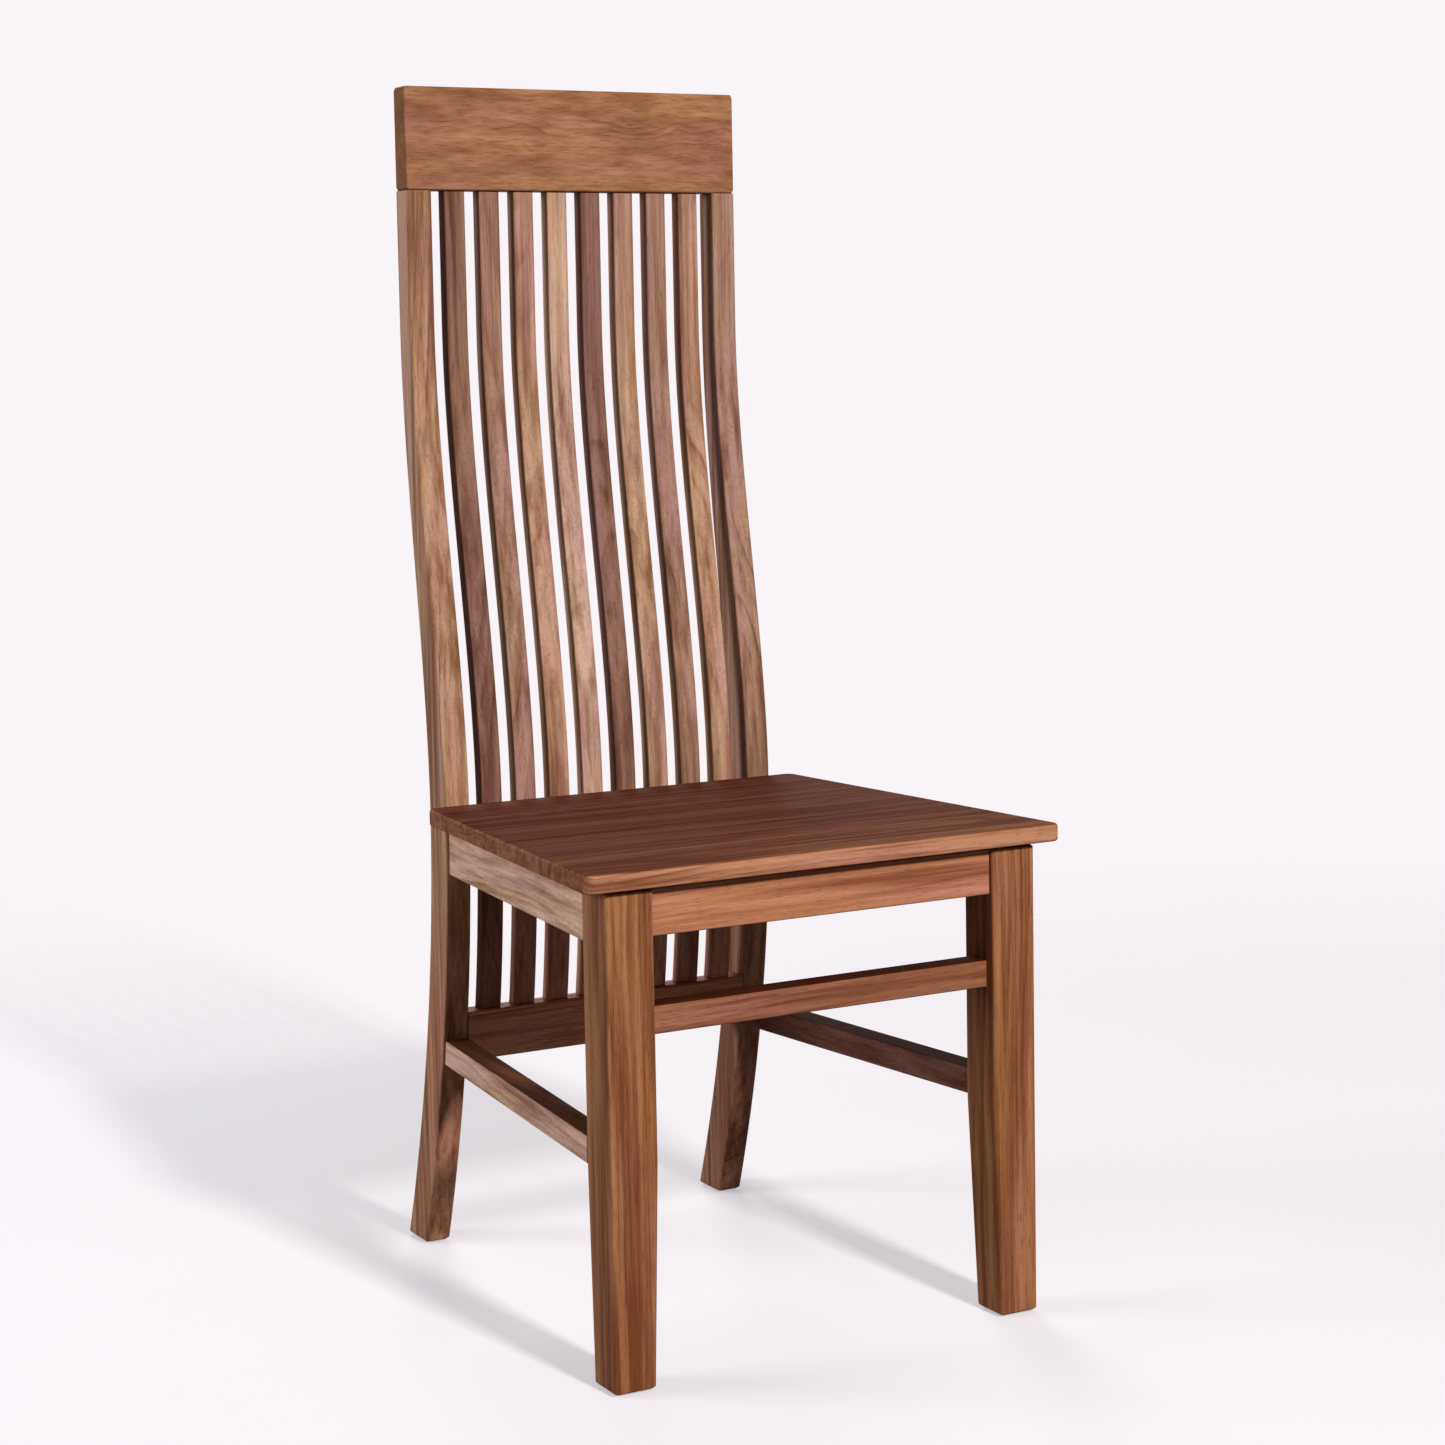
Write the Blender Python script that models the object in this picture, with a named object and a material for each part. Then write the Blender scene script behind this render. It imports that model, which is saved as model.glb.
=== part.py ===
"""A dining chair with a tall slatted back, in solid wood, one object for each piece.

Metres, +Z up, -Y is the front of the chair and X runs across it. The model's origin lies on the
floor under the middle of the chair's bounding box. The functions below place every piece from the
chair's own datum, which is at floor level in the middle of the front legs' front faces.
"""
import math

import bmesh
import bpy
from mathutils import Matrix, Vector

# ---- the chair as a whole ------------------------------------------------------------------------
OVERALL_HEIGHT = 1.155
SEAT_HEIGHT = 0.458
FRONT_WIDTH = 0.440          # over the outer faces of the front legs
REAR_WIDTH = 0.364           # over the outer faces of the rear legs
LEG_SPAN = 0.419             # front faces of the front legs to the knees of the rear legs
FIT = 0.0003                 # gap between two faces that meet
ARRIS = 0.0012               # eased edge on rails, slats and tenons
LEG_ARRIS = 0.0018           # eased edge on the legs

# ---- front legs ----------------------------------------------------------------------------------
FRONT_LEG = 0.046            # square
FRONT_LEG_TAPER = 0.006      # taken off each of the two inside faces at the foot
TAPER_START = 0.200

# ---- rear legs, which are also the uprights of the back ------------------------------------------
REAR_LEG_WIDTH = 0.026
REAR_FOOT_DEPTH = 0.044
REAR_KNEE_DEPTH = 0.039
REAR_TOP_DEPTH = 0.028
KNEE_HEIGHT = 0.443          # where the leg comes furthest forward
FOOT_SWEEP = 0.078           # how far the foot runs out behind the knee
BACK_LEAN = 0.054            # how far the top leans back behind the knee
LEAN_END = 0.925             # above this height the back is upright
STATION_STEP = 0.016         # longest straight run that stands in for the curve

# ---- top rail, slats and lower rear rail ---------------------------------------------------------
TOP_RAIL_HEIGHT = 0.100
STILE_TENON_LENGTH = 0.040
STILE_TENON_SHOULDER = 0.007
SLAT_COUNT = 8
SLAT_WIDTH = 0.022
SLAT_THICKNESS = 0.015
SLAT_SETBACK = 0.0045        # behind the front faces of the rear legs
SLAT_TENON_LENGTH = 0.014
SLAT_TENON_SHOULDER = 0.002
LOWER_RAIL_BOTTOM = 0.196
LOWER_RAIL_HEIGHT = 0.051
LOWER_RAIL_THICKNESS = 0.024
LOWER_RAIL_TENON = 0.010
LOWER_RAIL_TENON_LENGTH = 0.015

# ---- seat frame ----------------------------------------------------------------------------------
APRON_THICKNESS = 0.020
APRON_SETBACK = 0.005        # behind the outer faces of the front legs
FRONT_APRON_HEIGHT = 0.042
SIDE_APRON_HEIGHT = 0.050
APRON_TENON = 0.009
APRON_TENON_SHOULDER = 0.006
APRON_TENON_LENGTH = 0.022
SIDE_APRON_REAR_TENON = 0.020
REAR_RAIL_INSET = 0.004      # in front of the seat's rear edge
REAR_RAIL_TENON_LENGTH = 0.009
BLOCK_HEIGHT = 0.026
BLOCK_LEG = 0.046            # length of each glued face of a corner block

# ---- stretchers ----------------------------------------------------------------------------------
STRETCHER = 0.025            # square
FRONT_STRETCHER_BOTTOM = 0.310
SIDE_STRETCHER_BOTTOM = 0.195
SIDE_STRETCHER_SETBACK = 0.0005
STRETCHER_TENON = 0.010
STRETCHER_TENON_SHOULDER = 0.005
STRETCHER_TENON_LENGTH = 0.020
STRETCHER_REAR_TENON = 0.010

# ---- seat ----------------------------------------------------------------------------------------
SEAT_THICKNESS = 0.019
SEAT_NOSE = 0.012            # overhang in front of the front legs
SEAT_OVERHANG_FRONT = 0.024  # beyond the front legs' outer faces, at the seat's front edge
SEAT_OVERHANG_REAR = 0.022   # beyond the rear legs' outer faces, at the seat's rear edge
SEAT_BACK_GAP = 0.006        # from the seat's rear edge to the rear legs
SEAT_BOARDS = 5
SEAT_CORNER = 0.010          # radius in plan
SEAT_ROUND = 0.003           # round on the top edge
SEAT_REBATE_HEIGHT = 0.003
SEAT_REBATE_INSIDE = 0.008   # the rebate runs this far in over the legs' outer faces
CORNER_STEPS = 5             # facets in each corner of the seat's plan
ROUND_STEPS = 3              # facets in the round on its top edge

# ---- hardware ------------------------------------------------------------------------------------
GLIDE_DIAMETER = 0.018
GLIDE_THICKNESS = 0.002
GLIDE_CHAMFER = 0.0006
GLIDE_STEM_DIAMETER = 0.005
GLIDE_STEM_LENGTH = 0.010
SCREW_DIAMETER = 0.0045
SCREW_HEAD_DIAMETER = 0.009
SCREW_HEAD_HEIGHT = 0.0026
SCREW_POINT = 0.005
SEAT_SCREW_LENGTH = 0.036
LEG_SCREW_LENGTH = 0.045
SCREW_INSET = 0.010          # seat screws, in from the sloping face of a corner block
FRONT_SCREW_SHARE = 0.27     # how far along that face they stand, so as to clear the leg screw
REAR_SCREW_SHARE = 0.50
ROUND_SEGMENTS = 16

# ---- cutters -------------------------------------------------------------------------------------
CUTTER_CLEAR = 0.004         # how far a cutter stands out of the face that it enters
CURVE_CLEAR = 0.012          # the same, where that face is curved
STRIP_CLEAR = 0.020          # the same, for the strips that part the seat into boards
DRIVER_CLEAR = 0.030         # room below a screw head

# ---- sizes that follow from the ones above -------------------------------------------------------
SIDES = {"left": -1, "right": 1}
ENDS = {"front": True, "rear": False}
FRAME_TOP = SEAT_HEIGHT - SEAT_THICKNESS - FIT
TOP_RAIL_BOTTOM = OVERALL_HEIGHT - TOP_RAIL_HEIGHT
LOWER_RAIL_TOP = LOWER_RAIL_BOTTOM + LOWER_RAIL_HEIGHT
SEAT_REAR = LEG_SPAN - SEAT_BACK_GAP
REAR_LEG_INSIDE = REAR_WIDTH / 2 - REAR_LEG_WIDTH
FRONT_LEG_INSIDE = FRONT_WIDTH / 2 - FRONT_LEG


# ---- the curve of the rear legs ------------------------------------------------------------------
def ease(t):
    """Runs from 0 to 1 with a level start and a level end."""
    t = min(max(t, 0.0), 1.0)
    return t * t * (3 - 2 * t)


def rear_face(z):
    """Y of the rear legs' front face: a parabola down to the foot, an S up to the top rail."""
    if z < KNEE_HEIGHT:
        return LEG_SPAN + FOOT_SWEEP * (1 - z / KNEE_HEIGHT) ** 2
    return LEG_SPAN + BACK_LEAN * ease((z - KNEE_HEIGHT) / (LEAN_END - KNEE_HEIGHT))


def rear_depth(z):
    """Depth of the rear legs from front to back, which is greatest at the foot."""
    if z < KNEE_HEIGHT:
        return REAR_FOOT_DEPTH + (REAR_KNEE_DEPTH - REAR_FOOT_DEPTH) * z / KNEE_HEIGHT
    share = ease((z - KNEE_HEIGHT) / (LEAN_END - KNEE_HEIGHT))
    return REAR_KNEE_DEPTH + (REAR_TOP_DEPTH - REAR_KNEE_DEPTH) * share


def overall_depth():
    """From the seat's front edge to the heels of the rear legs, above their eased lower edges."""
    heel = GLIDE_THICKNESS + LEG_ARRIS
    return SEAT_NOSE + rear_face(heel) + rear_depth(heel)


def stations(low, high):
    """Evenly spaced heights, both ends included."""
    count = max(1, math.ceil((high - low) / STATION_STEP))
    return [low + (high - low) * i / count for i in range(count + 1)]


# ---- making solids -------------------------------------------------------------------------------
def chamfered(u0, u1, v0, v1, chamfer):
    """Eight corners of a rectangle in u and v with its corners cut off."""
    return [
        (u0 + chamfer, v0), (u1 - chamfer, v0), (u1, v0 + chamfer), (u1, v1 - chamfer),
        (u1 - chamfer, v1), (u0 + chamfer, v1), (u0, v1 - chamfer), (u0, v0 + chamfer),
    ]


def shrunk(bounds, by):
    u0, u1, v0, v1 = bounds
    return (u0 + by, u1 - by, v0 + by, v1 - by)


def mirrored(bounds, side):
    """The bounds themselves on the +X side, and their mirror image on the other."""
    u0, u1, v0, v1 = bounds
    return (u0, u1, v0, v1) if side > 0 else (-u1, -u0, v0, v1)


def mesh_from(name, bm):
    bmesh.ops.recalc_face_normals(bm, faces=bm.faces)
    mesh = bpy.data.meshes.new(name)
    bm.to_mesh(mesh)
    bm.free()
    return mesh


def loft(name, loops):
    """A closed mesh through loops of points that all have the same number of points."""
    bm = bmesh.new()
    rings = [[bm.verts.new(point) for point in loop] for loop in loops]
    for low, high in zip(rings, rings[1:]):
        for i in range(len(low)):
            j = (i + 1) % len(low)
            bm.faces.new((low[i], low[j], high[j], high[i]))
    bm.faces.new(rings[0])
    bm.faces.new(rings[-1])
    return mesh_from(name, bm)


def turned(name, profile):
    """A closed round mesh about Z, from (radius, height) pairs that start and end on the axis."""
    bm = bmesh.new()
    rings = []
    for radius, height in profile:
        angles = [2 * math.pi * i / ROUND_SEGMENTS for i in range(ROUND_SEGMENTS if radius else 1)]
        rings.append([bm.verts.new((radius * math.cos(a), radius * math.sin(a), height)) for a in angles])
    for low, high in zip(rings, rings[1:]):
        for i in range(ROUND_SEGMENTS):
            j = (i + 1) % ROUND_SEGMENTS
            corners = (low[i % len(low)], low[j % len(low)], high[j % len(high)], high[i % len(high)])
            bm.faces.new(list(dict.fromkeys(corners)))
    return mesh_from(name, bm)


# ---- sections ------------------------------------------------------------------------------------
def upright(bounds, chamfer, z):
    """A horizontal loop at height z. The bounds are x0, x1, y0, y1."""
    return [Vector((x, y, z)) for x, y in chamfered(*bounds, chamfer)]


def across(bounds, chamfer, x, lean=None):
    """A loop that faces along X, at one x or at x as a function of y. The bounds are y0, y1, z0, z1;
    lean gives what the rear legs' curve adds to y at each height."""
    loop = []
    for y, z in chamfered(*bounds, chamfer):
        y_here = y + lean(z) if lean else y
        loop.append(Vector((x(y_here) if callable(x) else x, y_here, z)))
    return loop


def along(bounds, chamfer, side, middle, y):
    """A loop that faces along Y, at one y or at y as a function of height. The bounds are offsets
    from the middle line, x0 and x1, then z0, z1; the middle is one x, or x as a function of y."""
    loop = []
    for offset, z in chamfered(*bounds, chamfer):
        y_here = y(z) if callable(y) else y
        centre = middle(y_here) if callable(middle) else middle
        loop.append(Vector((side * (centre + offset), y_here, z)))
    return loop


def centred_tenon(bounds, thickness, shoulder):
    """A tenon in the middle of a member's section, with a shoulder above and below."""
    u0, u1, v0, v1 = bounds
    middle = (u0 + u1) / 2
    return (middle - thickness / 2, middle + thickness / 2, v0 + shoulder, v1 - shoulder)


# ---- pieces and cutters --------------------------------------------------------------------------
def stand(name, mesh, location, turn):
    """A new object that stands in the chair's datum."""
    new = bpy.data.objects.new(name, mesh)
    new.parent = bpy.data.objects["chair"]
    new.matrix_local = Matrix.Translation(location) @ (turn or Matrix())
    bpy.context.scene.collection.objects.link(new)
    return new


def place(name, mesh, material, location=(0, 0, 0), turn=None):
    """One piece of the chair."""
    if not mesh.materials:
        mesh.materials.append(material)
        mesh.shade_smooth()
        mesh.set_sharp_from_angle(angle=math.radians(28))
    stand(name, mesh, location, turn)


def cut(name, mesh, location=(0, 0, 0), turn=None, operation="DIFFERENCE"):
    """Takes the mesh out of the named piece, or keeps only what lies in it."""
    cutter = stand(mesh.name, mesh, location, turn)
    cutter.hide_render = True
    cutter.display_type = "WIRE"
    boolean = bpy.data.objects[name].modifiers.new(mesh.name, "BOOLEAN")
    boolean.operation = operation
    boolean.solver = "EXACT"
    boolean.object = cutter


# ---- materials -----------------------------------------------------------------------------------
def finish(name, colour, roughness, metallic=0.0):
    """A Principled material, made once and then found by its name."""
    if name in bpy.data.materials:
        return bpy.data.materials[name]
    material = bpy.data.materials.new(name)
    material.use_nodes = True
    shader = material.node_tree.nodes["Principled BSDF"]
    shader.inputs["Base Color"].default_value = (*colour, 1)
    shader.inputs["Roughness"].default_value = roughness
    shader.inputs["Metallic"].default_value = metallic
    return material


def leg_wood():
    return finish("leg_wood", (0.28, 0.105, 0.040), 0.42)


def rail_wood():
    return finish("rail_wood", (0.38, 0.160, 0.072), 0.42)


def slat_wood():
    return finish("slat_wood", (0.36, 0.170, 0.095), 0.42)


def seat_wood():
    return finish("seat_wood", (0.135, 0.042, 0.022), 0.34)


def block_wood():
    return finish("block_wood", (0.45, 0.26, 0.13), 0.60)


def steel():
    return finish("steel", (0.62, 0.60, 0.56), 0.30, 1.0)


def nylon():
    return finish("nylon", (0.03, 0.024, 0.020), 0.50)


# ---- members that run across the chair -----------------------------------------------------------
def cross_member(name, body, tenon, shoulder, length, lean=None):
    """A rail from one side to the other with a tenon at each end. The shoulder is the x of its right
    end, or that x as a function of y."""
    def end_at(side, by):
        if callable(shoulder):
            return lambda y: side * (shoulder(y) + by)
        return side * (shoulder + by)

    loops = []
    for side in (-1, 1):
        end = [
            across(tenon, ARRIS, end_at(side, length), lean),
            across(tenon, ARRIS, end_at(side, 0), lean),
            across(body, ARRIS, end_at(side, 0), lean),
        ]
        loops += end if side < 0 else end[::-1]
    return loft(name, loops)


def cross_mortise(name, tenon, inside, length, side, lean=None):
    """The pocket for a cross member's tenon, in a face that looks towards the middle of the chair."""
    pocket = shrunk(tenon, -FIT)
    depths = (inside - CUTTER_CLEAR, inside + length + FIT)
    return loft(name, [across(pocket, ARRIS, side * x, lean) for x in depths])


# ---- members that run from a front leg to a rear leg ---------------------------------------------
def side_line(front_x, rear_x):
    """X of a side member's middle line as a function of y, on the +X side."""
    slope = (rear_x - front_x) / (LEG_SPAN - FRONT_LEG)
    return lambda y: front_x + slope * (y - FRONT_LEG)


def side_member(name, side, body, tenon, middle, front_length, rear_length):
    """A rail between a front and a rear leg; its rear shoulder follows the leg's curve."""
    def rear_shoulder(z):
        return rear_face(z) - FIT

    front_shoulder = FRONT_LEG + FIT
    height = (tenon[2] + tenon[3]) / 2
    front_x = middle(front_shoulder)
    rear_x = middle(rear_shoulder(height))
    return loft(name, [
        along(tenon, ARRIS, side, front_x, FRONT_LEG - front_length),
        along(tenon, ARRIS, side, front_x, front_shoulder),
        along(body, ARRIS, side, middle, front_shoulder),
        along(body, ARRIS, side, middle, rear_shoulder),
        along(tenon, ARRIS, side, rear_x, rear_shoulder),
        along(tenon, ARRIS, side, rear_x, rear_face(height) + rear_length),
    ])


def cut_side_mortises(name, hand, side, tenon, middle, front_length, rear_length):
    """The two pockets of a side member: one in the front leg, one in the rear leg."""
    pocket = shrunk(tenon, -FIT)
    height = (tenon[2] + tenon[3]) / 2
    front_x = middle(FRONT_LEG + FIT)
    rear_x = middle(rear_face(height) - FIT)
    front_run = (FRONT_LEG - front_length - FIT, FRONT_LEG + CUTTER_CLEAR)
    rear_run = (rear_face(height) - CURVE_CLEAR, rear_face(height) + rear_length + FIT)
    front_pocket = loft(f"{name}_front_mortise", [along(pocket, ARRIS, side, front_x, y) for y in front_run])
    rear_pocket = loft(f"{name}_rear_mortise", [along(pocket, ARRIS, side, rear_x, y) for y in rear_run])
    cut(f"front_leg_{hand}", front_pocket)
    cut(f"rear_leg_{hand}", rear_pocket)


# ---- legs ----------------------------------------------------------------------------------------
def front_leg(side):
    def section(z):
        taper = FRONT_LEG_TAPER * max(0.0, (TAPER_START - z) / TAPER_START)
        return mirrored((FRONT_LEG_INSIDE + taper, FRONT_WIDTH / 2, 0, FRONT_LEG - taper), side)

    foot = GLIDE_THICKNESS
    loops = [upright(shrunk(section(foot), LEG_ARRIS), LEG_ARRIS, foot)]
    loops += [upright(section(z), LEG_ARRIS, z) for z in (foot + LEG_ARRIS, TAPER_START, FRAME_TOP - ARRIS)]
    loops.append(upright(shrunk(section(FRAME_TOP), ARRIS), LEG_ARRIS, FRAME_TOP))
    return loft("front_leg", loops)


def rear_section(z, side):
    bounds = (REAR_LEG_INSIDE, REAR_WIDTH / 2, rear_face(z), rear_face(z) + rear_depth(z))
    return mirrored(bounds, side)


def stile_tenon(side):
    """Section of the tenon on top of a rear leg, which stands up into the top rail."""
    return shrunk(rear_section(TOP_RAIL_BOTTOM, side), STILE_TENON_SHOULDER)


def rear_leg(side):
    foot = GLIDE_THICKNESS
    shoulder = TOP_RAIL_BOTTOM - FIT
    loops = [upright(shrunk(rear_section(foot, side), LEG_ARRIS), LEG_ARRIS, foot)]
    loops += [upright(rear_section(z, side), LEG_ARRIS, z) for z in stations(foot + LEG_ARRIS, shoulder)]
    loops += [upright(stile_tenon(side), ARRIS, z) for z in (shoulder, TOP_RAIL_BOTTOM + STILE_TENON_LENGTH)]
    return loft("rear_leg", loops)


def add_legs():
    for hand, side in SIDES.items():
        place(f"front_leg_{hand}", front_leg(side), leg_wood())
        place(f"rear_leg_{hand}", rear_leg(side), leg_wood())


# ---- aprons and rear seat rail -------------------------------------------------------------------
SIDE_APRON = (-APRON_THICKNESS / 2, APRON_THICKNESS / 2, FRAME_TOP - SIDE_APRON_HEIGHT, FRAME_TOP)
SIDE_APRON_TENON = centred_tenon(SIDE_APRON, APRON_TENON, APRON_TENON_SHOULDER)
SIDE_APRON_MIDDLE = side_line(
    FRONT_WIDTH / 2 - APRON_SETBACK - APRON_THICKNESS / 2,
    REAR_WIDTH / 2 - REAR_LEG_WIDTH / 2,
)


def apron_inside(y):
    """X of a side apron's inner face, on the +X side."""
    return SIDE_APRON_MIDDLE(y) - APRON_THICKNESS / 2


def cross_apron(front_y):
    """Section of an apron that runs across, y0, y1, z0, z1."""
    return (front_y, front_y + APRON_THICKNESS, FRAME_TOP - FRONT_APRON_HEIGHT, FRAME_TOP)


FRONT_APRON = cross_apron(APRON_SETBACK)
REAR_SEAT_RAIL = cross_apron(SEAT_REAR - REAR_RAIL_INSET - APRON_THICKNESS)


def add_front_apron():
    tenon = centred_tenon(FRONT_APRON, APRON_TENON, APRON_TENON_SHOULDER)
    shoulder = FRONT_LEG_INSIDE - FIT
    mesh = cross_member("front_apron", FRONT_APRON, tenon, shoulder, APRON_TENON_LENGTH + FIT)
    place("front_apron", mesh, rail_wood())
    for hand, side in SIDES.items():
        pocket = cross_mortise("front_apron_mortise", tenon, FRONT_LEG_INSIDE, APRON_TENON_LENGTH, side)
        cut(f"front_leg_{hand}", pocket)


def add_side_aprons():
    shape = (SIDE_APRON_TENON, SIDE_APRON_MIDDLE, APRON_TENON_LENGTH, SIDE_APRON_REAR_TENON)
    for hand, side in SIDES.items():
        place(f"side_apron_{hand}", side_member("side_apron", side, SIDE_APRON, *shape), rail_wood())
        cut_side_mortises("side_apron", hand, side, *shape)


def add_rear_seat_rail():
    """The rail under the seat's rear edge, tenoned into the side aprons at their angle."""
    tenon = centred_tenon(REAR_SEAT_RAIL, APRON_TENON, APRON_TENON_SHOULDER)
    mesh = cross_member(
        "rear_seat_rail", REAR_SEAT_RAIL, tenon, lambda y: apron_inside(y) - FIT,
        REAR_RAIL_TENON_LENGTH,
    )
    place("rear_seat_rail", mesh, rail_wood())
    for hand, side in SIDES.items():
        depths = (-CUTTER_CLEAR, REAR_RAIL_TENON_LENGTH)
        pocket = [
            across(shrunk(tenon, -FIT), ARRIS, lambda y, by=by: side * (apron_inside(y) + by))
            for by in depths
        ]
        cut(f"side_apron_{hand}", loft("rear_seat_rail_mortise", pocket))


# ---- stretchers ----------------------------------------------------------------------------------
def add_front_stretcher():
    setback = (FRONT_LEG - STRETCHER) / 2
    top = FRONT_STRETCHER_BOTTOM + STRETCHER
    body = (setback, setback + STRETCHER, FRONT_STRETCHER_BOTTOM, top)
    tenon = centred_tenon(body, STRETCHER_TENON, STRETCHER_TENON_SHOULDER)
    shoulder = FRONT_LEG_INSIDE - FIT
    mesh = cross_member("front_stretcher", body, tenon, shoulder, STRETCHER_TENON_LENGTH + FIT)
    place("front_stretcher", mesh, rail_wood())
    for hand, side in SIDES.items():
        pocket = cross_mortise(
            "front_stretcher_mortise", tenon, FRONT_LEG_INSIDE, STRETCHER_TENON_LENGTH, side)
        cut(f"front_leg_{hand}", pocket)


def add_side_stretchers():
    body = (-STRETCHER / 2, STRETCHER / 2, SIDE_STRETCHER_BOTTOM, SIDE_STRETCHER_BOTTOM + STRETCHER)
    tenon = centred_tenon(body, STRETCHER_TENON, STRETCHER_TENON_SHOULDER)
    inset = SIDE_STRETCHER_SETBACK + STRETCHER / 2
    middle = side_line(FRONT_WIDTH / 2 - inset, REAR_WIDTH / 2 - inset)
    shape = (tenon, middle, STRETCHER_TENON_LENGTH, STRETCHER_REAR_TENON)
    for hand, side in SIDES.items():
        place(f"side_stretcher_{hand}", side_member("side_stretcher", side, body, *shape), rail_wood())
        cut_side_mortises("side_stretcher", hand, side, *shape)


# ---- the back ------------------------------------------------------------------------------------
def add_lower_rear_rail():
    """The rail that holds the slats' feet: centred on the slats, and sloped with the rear legs. Its
    tenons lie towards its back, clear of the side stretchers' tenons."""
    middle = SLAT_SETBACK + SLAT_THICKNESS / 2
    front, back = middle - LOWER_RAIL_THICKNESS / 2, middle + LOWER_RAIL_THICKNESS / 2
    body = (front, back, LOWER_RAIL_BOTTOM, LOWER_RAIL_TOP)
    tenon = (
        back - LOWER_RAIL_TENON, back,
        LOWER_RAIL_BOTTOM + APRON_TENON_SHOULDER, LOWER_RAIL_TOP - APRON_TENON_SHOULDER,
    )
    shoulder = REAR_LEG_INSIDE - FIT
    length = LOWER_RAIL_TENON_LENGTH + FIT
    mesh = cross_member("lower_rear_rail", body, tenon, shoulder, length, rear_face)
    place("lower_rear_rail", mesh, rail_wood())
    for hand, side in SIDES.items():
        pocket = cross_mortise(
            "lower_rail_mortise", tenon, REAR_LEG_INSIDE, LOWER_RAIL_TENON_LENGTH, side, rear_face)
        cut(f"rear_leg_{hand}", pocket)


def add_top_rail():
    """A flat board as deep as the rear legs' tops, with a pocket for each of their tenons."""
    face = rear_face(OVERALL_HEIGHT)
    body = (face, face + REAR_TOP_DEPTH, TOP_RAIL_BOTTOM, OVERALL_HEIGHT)
    end = REAR_WIDTH / 2
    loops = []
    for side in (-1, 1):
        pair = [
            across(shrunk(body, LEG_ARRIS), LEG_ARRIS, side * end),
            across(body, LEG_ARRIS, side * (end - LEG_ARRIS)),
        ]
        loops += pair if side < 0 else pair[::-1]
    place("top_rail", loft("top_rail", loops), rail_wood())
    for side in SIDES.values():
        socket = shrunk(stile_tenon(side), -FIT)
        heights = (TOP_RAIL_BOTTOM - CUTTER_CLEAR, TOP_RAIL_BOTTOM + STILE_TENON_LENGTH + FIT)
        cut("top_rail", loft("stile_mortise", [upright(socket, ARRIS, z) for z in heights]))


def slat_section(z, inset=0.0):
    front = rear_face(z) + SLAT_SETBACK
    return shrunk((-SLAT_WIDTH / 2, SLAT_WIDTH / 2, front, front + SLAT_THICKNESS), inset)


def slat():
    """A slat that follows the rear legs' curve, with a tenon at its foot and at its head."""
    low = LOWER_RAIL_TOP + FIT
    high = TOP_RAIL_BOTTOM - FIT
    foot = slat_section(LOWER_RAIL_TOP, SLAT_TENON_SHOULDER)
    head = slat_section(TOP_RAIL_BOTTOM, SLAT_TENON_SHOULDER)
    loops = [upright(foot, ARRIS, z) for z in (LOWER_RAIL_TOP - SLAT_TENON_LENGTH, low)]
    loops += [upright(slat_section(z), ARRIS, z) for z in stations(low, high)]
    loops += [upright(head, ARRIS, z) for z in (high, TOP_RAIL_BOTTOM + SLAT_TENON_LENGTH)]
    return loft("slat", loops)


def slat_mortise(name, height, away):
    """The pocket for a slat's tenon in a rail's face at that height; away is 1 for a pocket that
    goes up from the face, and -1 for one that goes down."""
    pocket = shrunk(slat_section(height, SLAT_TENON_SHOULDER), -FIT)
    heights = (height - away * CUTTER_CLEAR, height + away * (SLAT_TENON_LENGTH + FIT))
    return loft(name, [upright(pocket, ARRIS, z) for z in heights])


def slat_places():
    """X of each slat: the slats and the gaps beside them share the space between the rear legs."""
    gap = (2 * REAR_LEG_INSIDE - SLAT_COUNT * SLAT_WIDTH) / (SLAT_COUNT + 1)
    first = -REAR_LEG_INSIDE + gap + SLAT_WIDTH / 2
    return [first + i * (SLAT_WIDTH + gap) for i in range(SLAT_COUNT)]


def add_slats():
    mesh = slat()
    foot_pocket = slat_mortise("slat_foot_mortise", LOWER_RAIL_TOP, -1)
    head_pocket = slat_mortise("slat_head_mortise", TOP_RAIL_BOTTOM, 1)
    for number, x in enumerate(slat_places(), start=1):
        place(f"slat_{number}", mesh, slat_wood(), (x, 0, 0))
        cut("lower_rear_rail", foot_pocket, (x, 0, 0))
        cut("top_rail", head_pocket, (x, 0, 0))


# ---- seat ----------------------------------------------------------------------------------------
def rounded(corners, radius):
    """A polygon with each of its corners turned into an arc."""
    outline = []
    for i, corner in enumerate(corners):
        here = Vector(corner)
        back = (Vector(corners[i - 1]) - here).normalized()
        ahead = (Vector(corners[(i + 1) % len(corners)]) - here).normalized()
        half = back.angle(ahead) / 2
        centre = here + (back + ahead).normalized() * radius / math.sin(half)
        start = here + back * radius / math.tan(half) - centre
        end = here + ahead * radius / math.tan(half) - centre
        sweep = -start.angle_signed(end)
        for step in range(CORNER_STEPS + 1):
            outline.append(centre + Matrix.Rotation(sweep * step / CORNER_STEPS, 2) @ start)
    return outline


def seat_outline(inset, corner):
    """Plan of the whole seat, drawn in from its edges by the inset."""
    front = FRONT_WIDTH / 2 + SEAT_OVERHANG_FRONT
    rear = REAR_WIDTH / 2 + SEAT_OVERHANG_REAR
    y0 = -SEAT_NOSE + inset
    y1 = SEAT_REAR - min(inset, SEAT_ROUND)

    def half_width(y):
        return front + (rear - front) * (y + SEAT_NOSE) / (SEAT_REAR + SEAT_NOSE) - inset

    corners = [(-half_width(y0), y0), (half_width(y0), y0), (half_width(y1), y1), (-half_width(y1), y1)]
    return rounded(corners, corner)


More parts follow.
